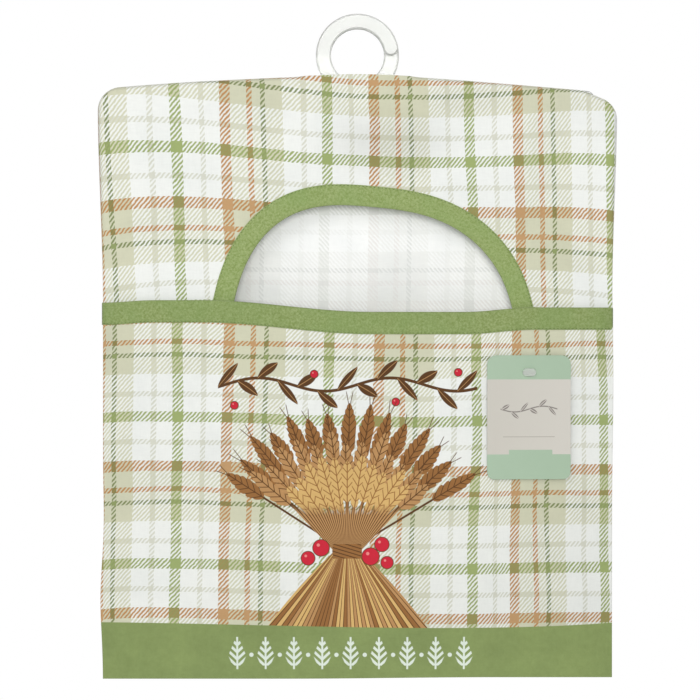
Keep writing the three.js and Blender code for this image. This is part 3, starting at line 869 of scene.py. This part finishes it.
def sheaf(surface, colour, x, z):
    """Three fans of ears, the stems under the tie and the tie."""
    x = x - SHEAF_X
    z = z - SHEAF_TIE_Z
    for *fan, light, dark in FANS:
        ear, groove, stalk = ears(x, z, *fan)
        colour = surface.mixed(colour, dark, stalk)
        colour = surface.mixed(colour, surface.mixed(light, dark, groove), ear)
    down = 0 - z
    lines = x.angle_from(down + STEM_FOCUS) * STEM_LINES
    stem = lines.floor().hashed(STEM_SEED)
    edge = abs(lines.fract() - 0.5).over(0.4, 0.08)
    stem_colour = surface.mixed(TAN, LIGHT_TAN, stem.over(0.62, 0.02))
    stem_colour = surface.mixed(stem_colour, MID_BROWN, stem.under(0.3, 0.02))
    stem_colour = surface.mixed(stem_colour, DARK_BROWN, edge)
    stems_half = down * STEMS_WIDEN + STEMS_HALF - down * down * STEMS_CURL
    below = down.over(0, 0.3) * x.within(stems_half)
    colour = surface.mixed(colour, stem_colour, below)
    neck_half = z * NECK_WIDEN + STEMS_HALF
    neck = z.over(0, 0.3) * x.within(neck_half) * z.under(NECK_TOP, 6)
    neck_line = abs((x.angle_from(z + STEM_FOCUS) * STEM_LINES).fract() - 0.5).over(0.32, 0.1)
    colour = surface.mixed(colour, surface.mixed(TAN, DARK_BROWN, neck_line), neck)
    twine = z.within(TIE_HALF_HEIGHT) * x.within(TIE_HALF - 0.12 * abs(z))
    strand = ((z + x * 0.3) / STRAND_PITCH).fract().over(0.72, 0.1)
    return surface.mixed(colour, surface.mixed(MID_BROWN, DARK_BROWN, strand), twine)


def berries(surface, colour, x, z, places):
    for place_x, place_z, radius in places:
        dx = x - place_x
        dz = z - place_z
        away = distance(dx, dz)
        shine = distance(dx + radius * 0.35, dz - radius * 0.35).under(radius * 0.2, INK_EDGE)
        colour = surface.mixed(colour, DARK_BROWN, away.under(radius + BERRY_RIM, INK_EDGE))
        colour = surface.mixed(colour, RED, away.under(radius, INK_EDGE))
        colour = surface.mixed(colour, BERRY_SHINE, shine)
    return colour


def leaf(aside, along, length, half):
    """The masks of a pointed leaf along its own axis and of its rib."""
    share = along / length
    blade = aside.within((1 - share * share) * half) * abs(share).under(1, 0.04)
    return blade, abs(aside).under(LEAF_RIB, 0.2) * blade


def sprig(surface, colour, x, z, ink, rib_ink, low, high, level, wave, pitch, size):
    """A waving stem with leaves on alternate sides, from x low to x high."""
    rise = z - level - (x * (2 * math.pi / wave)).sine() * (STEM_WAVE * wave)
    inside = x.between(low, high, 0.4)
    stem = rise.within(STEM_HALF * size) * inside
    colour = surface.mixed(colour, ink, stem)
    cell = x / pitch
    side = (cell.floor() / 2).fract() * 4 - 1
    aside = (cell.fract() - 0.5) * pitch
    up = rise * side - size * LEAF_OFF_STEM
    along = aside * math.cos(LEAF_SLANT) + up * math.sin(LEAF_SLANT)
    over = up * math.cos(LEAF_SLANT) - aside * math.sin(LEAF_SLANT)
    blade, rib = leaf(over, along, size, size * LEAF_HALF)
    colour = surface.mixed(colour, ink, blade * inside)
    return surface.mixed(colour, rib_ink, rib * inside)


def hem_band(surface, colour, x, z):
    """The green band with its row of pale ferns."""
    wide = x / DECIMETRE
    edge = ((wide * BAND_CURVE + BAND_SAG) * wide - BAND_SLOPE) * wide + BAND_TOP
    mottled = surface.mixed(BAND_GREEN, BAND_LIGHT, surface.noise(3.2, 3))
    mottled = surface.shaded(mottled, surface.noise(22, 2).over(0.5, 0.3), 0.95, 1.05)
    mottled = surface.shaded(mottled, surface.noise(1.1), 0.93, 1.05)
    band = z.under(edge, 0.3)
    cell = (x - FERN_X + FERN_PITCH / 2) / FERN_PITCH
    aside = abs((cell.fract() - 0.5) * FERN_PITCH)
    up = z - FERN_Z
    inside = x.between(*FERN_ROW, 0.1)
    stem = aside.under(FERN_STEM_HALF, INK_EDGE) * abs(up).under(FERN_HALF_HEIGHT, 0.4)
    reach = FROND_REACH - abs(up + 1.5) * FROND_TAPER
    slanted = up - aside * FROND_SLANT
    frond = (slanted / FROND_PITCH + 0.12).fract().under(0.5, 0.08)
    fern = frond * aside.under(reach, 0.5) * slanted.under(FROND_HIGH, 0.3) * up.over(FROND_LOW, 0.4)
    far = abs(aside - FERN_PITCH / 2)
    dot = distance(far, up + 1).under(DOT_RADIUS, INK_EDGE)
    motif = stem.most(fern).most(dot) * inside
    return surface.mixed(colour, surface.mixed(mottled, BAND_WHITE, motif), band)


def pouch_cotton(name):
    surface = Surface(name, 0.9, **COTTON_GLOSS)
    x, y, z = surface.millimetres()
    shade = z.under(HEM_SHADE_Z, HEM_SHADE_RUN) * (x * HEM_SHADE_SLOPE + HEM_SHADE) + POUCH_SHADE
    colour = surface.mixed(plaid_colour(surface), SOFT_SHADE, shade, "MULTIPLY")
    colour = sprig(surface, colour, x, z, DARK_BROWN, TAN, **POUCH_SPRIG)
    colour = berries(surface, colour, x, z, SPRIG_BERRIES)
    colour = sheaf(surface, colour, x, z)
    colour = berries(surface, colour, x - SHEAF_X, z - SHEAF_TIE_Z, TIE_BERRIES)
    return finish_cotton(surface, hem_band(surface, colour, x, z))


# Green tape and thread

TAPE_DARK = "819451"
TAPE_LIGHT = "A5B57C"
TAPE_DRIFT = "88A262"
ARCH_TONE = 0.95
LIP_TONE = 0.85
TAPE_TONE = 0.13
TAPE_WEAVE = 0.5
TAPE_WEAVE_DEPTH = 0.09
THREAD_GREEN = "566A38"


def tape_cotton(name, tone):
    """Heathered cotton tape: light and dark green fibres, and a slow drift between two greens."""
    surface = Surface(name, 0.88, Specular_IOR_Level=0.2, Sheen_Weight=0.2, Sheen_Roughness=0.45)
    fibres = surface.noise(1.3, 3, roughness=0.7).over(0.5, 0.34)
    heather = surface.mixed(TAPE_DARK, TAPE_LIGHT, fibres)
    heather = surface.mixed(heather, TAPE_DRIFT, surface.noise(24, 2).over(0.5, 0.3) * 0.4)
    colour = surface.shaded(heather, surface.noise(0.5, 1), tone - TAPE_TONE, tone + TAPE_TONE)
    return surface.finished(colour, surface.weave(TAPE_WEAVE), TAPE_WEAVE_DEPTH)


def thread_cotton(name):
    surface = Surface(name, 0.7, Specular_IOR_Level=0.3, Sheen_Weight=0.2)
    colour = surface.shaded(THREAD_GREEN, surface.noise(0.3, 1), 0.8, 1.1)
    return surface.finished(colour, surface.noise(0.15, 1), 0.05)


# Clear plastic and card

PLASTIC = {
    "IOR": 1.49,
    "Transmission_Weight": 0.25,
    "Specular_IOR_Level": 0.5,
    "Subsurface_Weight": 1,
    "Subsurface_Radius": (1, 1, 1),
    "Subsurface_Scale": 6 * MM,
}
HANGER_TINTS = ("E1E3DD", "E9EBE6")
PIN_TINTS = ("E2FFDC", "ECFFE6")
LEAST_FROST = 0.14
MORE_FROST = 0.16


def clear_plastic(name, tints):
    """Slightly frosted plastic, which spreads the light that it lets in."""
    surface = Surface(name, LEAST_FROST, **PLASTIC)
    haze = surface.noise(9, 2)
    surface.plug(surface.shader, Roughness=haze * MORE_FROST + LEAST_FROST)
    return surface.finished(surface.mixed(*tints, haze), surface.noise(6, 2), 0.05)


# The tag's print, measured down from its top edge and aside from its middle
TAG_BAND = 13.9
TAG_FOOT = 57.1
TAG_STEP = 54.5
TAG_STEP_X = 1
TAG_STEP_HALF = 12.6
TAG_RULE = 47
TAG_RULE_HALF = 15
TAG_SPRIG_DOWN = 31
TAG_EDGE = 0.15
TAG_GREENS = ("97AF95", "9BB399")
# The card's beige goes from the darker code on the left to the lighter one on the right: a painted
# reflection on its gloss
TAG_BEIGES_WITH_REFLECTION = ("BCB8AE", "C4C0B7")
TAG_REFLECTION_RUN = 40
TAG_GREY = "77706A"
TAG_PALE = "CCC6BD"
TAG_RULE_GREY = "8D857C"


def printed_card(name):
    surface = Surface(name, 0.42, Specular_IOR_Level=0.45, Coat_Weight=0.25, Coat_Roughness=0.25)
    x, y, z = surface.millimetres()
    down = tag_high[2] - z
    across = x - (tag_low[0] + tag_high[0]) / 2
    green = surface.mixed(*TAG_GREENS, surface.noise(12, 2))
    # painted reflection: the beige grows lighter towards the right
    beige_with_reflection = surface.mixed(*TAG_BEIGES_WITH_REFLECTION, (across / TAG_REFLECTION_RUN + 0.5).share())
    raised = abs(across - TAG_STEP_X).under(TAG_STEP_HALF, TAG_EDGE) * down.over(TAG_STEP, TAG_EDGE)
    foot = down.over(TAG_FOOT, TAG_EDGE).most(raised)
    head = down.under(TAG_BAND, TAG_EDGE)
    colour = surface.mixed(beige_with_reflection, green, head.most(foot))
    rule = abs(down - TAG_RULE).under(0.14, 0.1) * abs(across).under(TAG_RULE_HALF, 0.2)
    colour = surface.mixed(colour, TAG_RULE_GREY, rule)
    up = TAG_SPRIG_DOWN - down
    colour = sprig(surface, colour, across, up, TAG_GREY, TAG_PALE, **TAG_SPRIG)
    colour = surface.shaded(colour, surface.noise(0.5, 2), 0.985, 1.015)
    return surface.finished(colour, surface.noise(0.6, 2), 0.01)


# Softened edges of mouldings

MOULDED_EDGE = 0.6
EDGE_SEGMENTS = 3
SHARP_ANGLE = math.radians(40)
LEVEL_ANGLE = math.radians(1)


def soften(piece):
    """Rounds the sharp edges of a moulding."""
    joined = piece.modifiers.new("joined_faces", "DECIMATE")
    joined.decimate_type = "DISSOLVE"
    joined.angle_limit = LEVEL_ANGLE
    round_edge = piece.modifiers.new("round_edge", "BEVEL")
    round_edge.width = MOULDED_EDGE * MM
    round_edge.segments = EDGE_SEGMENTS
    round_edge.limit_method = "ANGLE"
    round_edge.angle_limit = SHARP_ANGLE
    round_edge.harden_normals = True


# Cloth panels

# Where the rows and columns of a panel lie close together: shares of the round edge and of the hem's zone
SIDE_SHARES = np.array([0.9, 0.7, 0.5, 0.36, 0.25, 0.16, 0.09, 0.04, 0.01, 0])
RIDGE_SHARES = np.array([1, 0.8, 0.6, 0.45, 0.32, 0.22, 0.14, 0.08, 0.03, 0])
HEM_SHARES = np.array([0, 0.03, 0.08, 0.18, 0.34, 0.6, 1])
HEM_ZONE = 2.4


def edge_columns():
    """Shares of the half width for the columns of a panel, close together at the side seams."""
    plain = np.arange(0, SHOULDER_HALF - EDGE_ROUND, CLOTH_CELL) / SHOULDER_HALF
    right = np.concatenate([plain, 1 - EDGE_ROUND / SHOULDER_HALF * SIDE_SHARES])
    return np.concatenate([-right[:0:-1], right])


def swelled(z, swells):
    """How far out a side edge goes at a height."""
    return sum(out * np.exp(-((z - middle) / half) ** 2) for out, middle, half in swells)


def side_x(share, z):
    """The x of a column at a height, with the uneven side edges of the hung bag."""
    left = swelled(z, LEFT_SWELLS) * (-share).clip(0, 1) ** SWELL_POWER
    right = swelled(z, RIGHT_SWELLS) * share.clip(0, 1) ** SWELL_POWER
    return share * half_width(z) - left + right


def panel(name, side, depth, low, high, ridged, materials, coordinates, replaced):
    """A cloth panel from its low edge to its high one, as a sheet with its wrong side inside."""
    shares = edge_columns()
    nominal = shares * WAIST_HALF
    tall = float(np.max(high(nominal) - low(nominal)))
    lines = [(share, 0) for share in np.linspace(0, 1, int(tall / CLOTH_CELL))]
    if ridged:
        lines = lines[:-1] + [(1, r) for r in RIDGE_SHARES]
    if low is hem_z:
        lines = [(0, h) for h in HEM_SHARES] + lines[1:]
    rows = []
    # A row's height depends on its width and its width on its height, so both are worked out twice.
    for share, extra in lines:
        near = shares * SHOULDER_HALF
        for _ in range(2):
            bottom, top = low(near), high(near)
            if ridged:
                top = top - RIDGE_ROUND
            if low is hem_z:
                bottom = bottom + HEM_ZONE
            z = lerp(bottom, top, share)
            if share == 1 and ridged:
                z = z + RIDGE_ROUND * (1 - extra)
            if share == 0 and low is hem_z:
                z = z - HEM_ZONE * (1 - extra)
            near = shares * half_width(z)
        x = side_x(shares, z)
        y = depth(near, z)
        rows.append(np.stack([x, side * y, z], -1))
    faces = grid_faces(len(rows), len(shares), side > 0)
    piece = mesh_object(name, np.array(rows).reshape(-1, 3), faces, "bag", materials)
    store_print(piece, coordinates, depth)
    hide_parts(replaced)
    thicken(piece, CLOTH, 1)
    return piece


# The arch of the mouth

ARCH_STEP = 0.004
ARCH_FOOT_SHARE = 0.02
ARCH_FINE = 2000
ARCH_POINTS = 240
CUT_POINTS = 160
CUT_BELOW = 6
CUT_NEAR = -40
CUT_FAR = -0.02


def arch_line(share, out=0.0):
    """Points x, z of the arch and the directions away from the mouth, for shares from foot to foot."""
    share = np.clip(share, 0, 1)

    def curve(s):
        angle = math.pi * (1 - np.clip(s, 0, 1))
        bend = 2 / ARCH_POWER
        across = np.sign(np.cos(angle)) * np.abs(np.cos(angle)) ** bend
        up = np.maximum(np.sin(angle), 0) ** bend
        x = ARCH_HALF * across * (1 - ARCH_TAPER * up)
        return np.stack([x, ARCH_RISE * up * (1 - ARCH_TILT * across)], -1)

    along = curve(share + ARCH_STEP) - curve(share - ARCH_STEP)
    along /= np.linalg.norm(along, axis=-1, keepdims=True)
    normal = np.stack([-along[:, 1], along[:, 0]], -1)
    level = np.clip(np.minimum(share, 1 - share) / ARCH_FOOT_SHARE, 0, 1)[:, None]
    feet = np.where(share[:, None] < 0.5, [[-1.0, 0.0]], [[1.0, 0.0]])
    normal = lerp(feet, normal, level)
    normal /= np.linalg.norm(normal, axis=-1, keepdims=True)
    foot = np.array([ARCH_OFFSET, lip_z(0) - ARCH_FOOT_BELOW_LIP])
    return curve(share) + foot + normal * out, normal


def lengths_along(points):
    """How far along a line each of its points is."""
    return np.concatenate([[0], np.cumsum(np.linalg.norm(np.diff(points, axis=0), axis=1))])


def even_shares(count):
    """Shares along the arch that are evenly spaced along its length."""
    fine = np.linspace(0, 1, ARCH_FINE)
    points, _ = arch_line(fine)
    length = lengths_along(points)
    return np.interp(np.linspace(0, length[-1], count), length, fine)


def cut_mouth(piece):
    """Cuts the mouth out of the yoke along a line that lies inside the fold of the tape."""
    edge, _ = arch_line(even_shares(CUT_POINTS), FOLD_INSET)
    low = lip_z(0) - ARCH_FOOT_BELOW_LIP - LIP_OVERLAP - CUT_BELOW
    outline = np.concatenate([[[edge[0, 0], low]], edge, [[edge[-1, 0], low]]])
    count = len(outline)
    points = [(x, y, z) for y in (CUT_NEAR, CUT_FAR) for x, z in outline]
    faces = [list(range(count))[::-1], list(range(count, 2 * count))]
    for i in range(count):
        j = (i + 1) % count
        faces.append([i, j, j + count, i + count])
    cutter = mesh_object("mouth_cutter", points, faces, None)
    cut = piece.modifiers.new("mouth", "BOOLEAN")
    cut.operation = "DIFFERENCE"
    cut.solver = "EXACT"
    cut.object = cutter
    apply_modifiers(piece)
    bpy.data.objects.remove(cutter)


# Folded tapes

# The lines of points of a leg, from its edge to its fold, and how its surface goes up and down
LEG_EDGE = np.array([0, 0.2, 0.45, STITCH_INSET, 1.0, 1.5])
LEG_START = 2.2
LEG_LINES = 10
NOSE_LINES = 9
NOSE_SHARE = 0.9
NOSE_INSET = 0.02
TURNED_EDGE = 0.3
TURNED_SINK = 0.2
STITCH_SINK = 0.12
STITCH_SINK_HALF = 0.4
LEG_LIFT = 0.1
WRINKLE = 0.09
WRINKLE_CELLS = (3.1, 5.0)
EASE = 0.05
EASE_CELLS = (9, 1.0)
SEAM_SINK = 0.1
END_SINK = 0.5
END_SINK_LENGTH = 4
ARCH_SEED = 51
LIP_SEED = 71


def tape(name, at, towards, reach, depth, material, replaced, seed, flip=False):
    """A tape folded over an edge: at is the fold, point by point, and towards the way its legs run."""
    leg = np.concatenate([reach - LEG_EDGE, np.linspace(reach - LEG_START, FOLD_INSET, LEG_LINES)])
    count = len(at)
    along = lengths_along(at)
    lines = []

    def line(r, turn, stand):
        x = at[:, 0] + towards[:, 0] * r
        z = at[:, 1] + towards[:, 1] * r
        out = depth(x, z)
        front = -out - stand
        back = -out + CLOTH + stand
        y = (front + back) / 2 - (back - front) / 2 * math.cos(turn)
        return np.stack([x, y, z], -1)

    def stand(r, side):
        stitch = STITCH_SINK * np.exp(-((r - reach + STITCH_INSET) / STITCH_SINK_HALF) ** 2)
        lifted = 1 - ((r - reach / 2) / (reach / 2)) ** 2
        wrinkle = soft_noise(along, np.full(count, r), *WRINKLE_CELLS, seed + side)
        ease = soft_noise(along, np.zeros(count), *EASE_CELLS, seed + 5 + side)
        edge = TURNED_SINK * (r > reach - TURNED_EDGE)
        uneven = LEG_LIFT * lifted + WRINKLE * wrinkle * (0.4 + lifted) + EASE * ease
        to_end = np.minimum(along, along[-1] - along)
        pressed = END_SINK * (1 - smooth(to_end / END_SINK_LENGTH))
        return TAPE_STAND - edge - stitch + uneven - pressed

    for r in leg:
        lines.append(line(r, 0, stand(r, 0)))
    for turn in np.linspace(0, math.pi, NOSE_LINES)[1:-1]:
        round_r = FOLD_INSET * (1 - math.sin(turn)) * NOSE_SHARE
        lines.append(line(round_r, turn, TAPE_STAND - NOSE_INSET))
    for r in leg[::-1]:
        lines.append(line(r, math.pi, stand(r, 1)))
    faces = grid_faces(len(lines), count, flip)
    piece = mesh_object(name, np.array(lines).reshape(-1, 3), faces, "bag", [material])
    thicken(piece, TAPE)
    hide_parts(replaced)
    return piece


def seam_line(at, towards, reach, depth):
    """The line of stitches near the edge of a tape's front leg."""
    x, z = (at + towards * (reach - STITCH_INSET)).T
    return np.stack([x, SEAM_SINK - TAPE_STAND - depth(x, z), z], -1)


def stitches(name, line, material):
    """A row of stitches along a line of points on the cloth's front."""
    length = lengths_along(line)
    centres = np.arange(STITCH_PITCH * 0.6, length[-1] - STITCH_PITCH * 0.5, STITCH_PITCH)
    rings = np.linspace(-1, 1, STITCH_RINGS)
    sides = STITCH_SIDES
    points, faces = [], []
    for centre in centres:
        base = len(points)
        for ring in rings:
            where = centre + ring * STITCH_LENGTH / 2
            middle = np.array([np.interp(where, length, line[:, k]) for k in range(3)])
            ahead = np.array([np.interp(where + STITCH_AHEAD, length, line[:, k]) for k in range(3)])
            tangent = (ahead - middle) / np.linalg.norm(ahead - middle)
            out = FRONT - tangent * (FRONT @ tangent)
            out /= np.linalg.norm(out)
            side = np.cross(tangent, out)
            radius = THREAD / 2 * (1 - STITCH_TAPER * ring ** 4)
            lift = STITCH_LIFT - STITCH_DIVE * ring ** 4
            for k in range(sides):
                turn = 2 * math.pi * k / sides
                outward = out * (lift + radius * math.cos(turn))
                points.append(middle + outward + side * radius * math.sin(turn))
        for ring in range(len(rings) - 1):
            for k in range(sides):
                a = base + ring * sides + k
                b = base + ring * sides + (k + 1) % sides
                faces.append([a, b, b + sides, a + sides])
        faces.append([base + k for k in range(sides)][::-1])
        last = base + (len(rings) - 1) * sides
        faces.append([last + k for k in range(sides)])
    return mesh_object(name, points, faces, "bag", [material])


# Camera, lights and floor

VIEW_X = -4.35
VIEW_Z = -186.1
VIEW_WIDTH = 406
VIEW_DISTANCE = 1800
SENSOR = 36
WORLD_LIGHT = 0.28
WORLD_SEEN = 1

# The place, the size and the power of each lamp, in metres and watts
LAMPS = {
    "key": ((-0.6, -1.1, 0.7), 0.9, 6.5),
    "front": ((0.1, -2.6, 0.1), 1.2, 38),
    "rear": ((0.9, 1.5, 0.7), 1.1, 30),
}
FLOOR_WHITES = ("F6F6F4", "FAFAF8")
FLOOR_Z = -520
FLOOR_RADIUS = 960
FLOOR_POINTS = 96
FLOOR_FADE = 740
FLOOR_FADE_RUN = 420


def make_camera():
    data = bpy.data.cameras.new("camera")
    data.sensor_width = SENSOR
    data.lens = SENSOR * VIEW_DISTANCE / VIEW_WIDTH
    camera = bpy.data.objects.new("camera", data)
    camera.location = (VIEW_X * MM, -VIEW_DISTANCE * MM, VIEW_Z * MM)
    camera.rotation_euler = (math.pi / 2, 0, 0)
    bpy.context.scene.collection.objects.link(camera)
    bpy.context.scene.camera = camera


def make_light(name, place, size, power):
    data = bpy.data.lights.new(name, "AREA")
    data.shape = "SQUARE"
    data.size = size
    data.energy = power
    light = bpy.data.objects.new(name, data)
    light.location = place
    aim = np.array([VIEW_X * MM, 0, VIEW_Z * MM]) - np.array(place)
    light.rotation_euler = Vector(aim).to_track_quat("-Z", "Y").to_euler()
    bpy.context.scene.collection.objects.link(light)


def make_world():
    """A dim white room, which the camera sees as white, straight or through the plastic."""
    world = bpy.data.worlds.new("studio")
    bpy.context.scene.world = world
    world.use_nodes = True
    nodes, links = world.node_tree.nodes, world.node_tree.links
    dim = nodes["Background"]
    seen = nodes.new("ShaderNodeBackground")
    for background, strength in ((dim, WORLD_LIGHT), (seen, WORLD_SEEN)):
        background.inputs["Color"].default_value = (1, 1, 1, 1)
        background.inputs["Strength"].default_value = strength
    path = nodes.new("ShaderNodeLightPath")
    mix = nodes.new("ShaderNodeMixShader")
    through = nodes.new("ShaderNodeMath")
    through.operation = "MAXIMUM"
    links.new(path.outputs["Is Camera Ray"], through.inputs[0])
    links.new(path.outputs["Is Transmission Ray"], through.inputs[1])
    links.new(through.outputs[0], mix.inputs["Fac"])
    links.new(dim.outputs[0], mix.inputs[1])
    links.new(seen.outputs[0], mix.inputs[2])
    links.new(mix.outputs[0], nodes["World Output"].inputs["Surface"])


def make_floor():
    """A white floor that fades out at its rim."""
    surface = Surface("floor", 0.9, Specular_IOR_Level=0.1)
    surface.plug(surface.shader, Base_Color=surface.mixed(*FLOOR_WHITES, surface.noise(220, 2)))
    x, y, _ = surface.millimetres()
    fade = distance(x, y).over(FLOOR_FADE, FLOOR_FADE_RUN)
    mix = surface.node("MixShader", Fac=fade)
    surface.links.new(surface.shader.outputs[0], mix.inputs[1])
    surface.links.new(surface.node("BsdfTransparent").outputs[0], mix.inputs[2])
    surface.plug(surface.nodes["Material Output"], Surface=mix.outputs[0])
    ring = []
    for k in range(FLOOR_POINTS):
        turn = 2 * math.pi * k / FLOOR_POINTS
        ring.append((FLOOR_RADIUS * math.cos(turn), FLOOR_RADIUS * math.sin(turn), FLOOR_Z))
    floor = mesh_object("floor", ring, [list(range(FLOOR_POINTS))], None, [surface.material])


# The making

make_camera()
make_world()
for lamp, (place, size, power) in LAMPS.items():
    make_light(lamp, place, size, power)
make_floor()
bpy.context.scene.view_settings.view_transform = "Standard"

plaid = cotton("plaid_cotton")
yoke_plaid = yoke_cotton("yoke_cotton")
wrong_side = cotton_wrong_side("plaid_wrong_side")
pouch_plaid = pouch_cotton("pouch_print")
arch_green = tape_cotton("arch_green", ARCH_TONE)
lip_green = tape_cotton("lip_green", LIP_TONE)
green_thread = thread_cotton("green_thread")
plastic = clear_plastic("clear_plastic", HANGER_TINTS)
pin_plastic = clear_plastic("pin_plastic", PIN_TINTS)
card = printed_card("printed_card")

dressed = {"front_hanger": plastic, "rear_hanger": plastic, "tag_pin": pin_plastic, "swing_tag": card}
for node, material in dressed.items():
    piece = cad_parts[node]
    piece.data.materials.clear()
    piece.data.materials.append(material)
for node in ("front_hanger", "rear_hanger"):
    soften(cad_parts[node])

panel(
    "back_cloth", 1, back_depth, hem_z, top_edge_z, True, [plaid, wrong_side], back_print,
    "back_panel",
)
yoke = panel(
    "yoke_cloth", -1, yoke_depth, lambda x: lip_z(x) - LIP_OVERLAP, top_edge_z, True,
    [yoke_plaid, wrong_side], yoke_print, "front_upper_panel",
)
cut_mouth(yoke)
store_print(yoke, yoke_print, yoke_depth)
panel(
    "pouch_cloth", -1, pouch_depth, hem_z, lambda x: lip_z(x) - FOLD_INSET, False,
    [pouch_plaid, wrong_side], pouch_print, "front_lower_panel",
)

arch_at, arch_out = arch_line(even_shares(ARCH_POINTS))
tape("arch_tape", arch_at, arch_out, ARCH_TAPE, yoke_depth, arch_green, "arch_binding", ARCH_SEED, True)
lip_x = np.linspace(-WAIST_HALF - LIP_REACH, WAIST_HALF + LIP_REACH, LIP_POINTS)
lip_at = np.stack([lip_x, lip_z(lip_x)], -1)
lip_down = np.repeat([[0.0, -1.0]], len(lip_x), 0)
tape("lip_tape", lip_at, lip_down, LIP_TAPE, pouch_depth, lip_green, "lip_binding", LIP_SEED)

stitches("arch_stitches", seam_line(arch_at, arch_out, ARCH_TAPE, yoke_depth), green_thread)
stitches("lip_stitches", seam_line(lip_at, lip_down, LIP_TAPE, pouch_depth), green_thread)
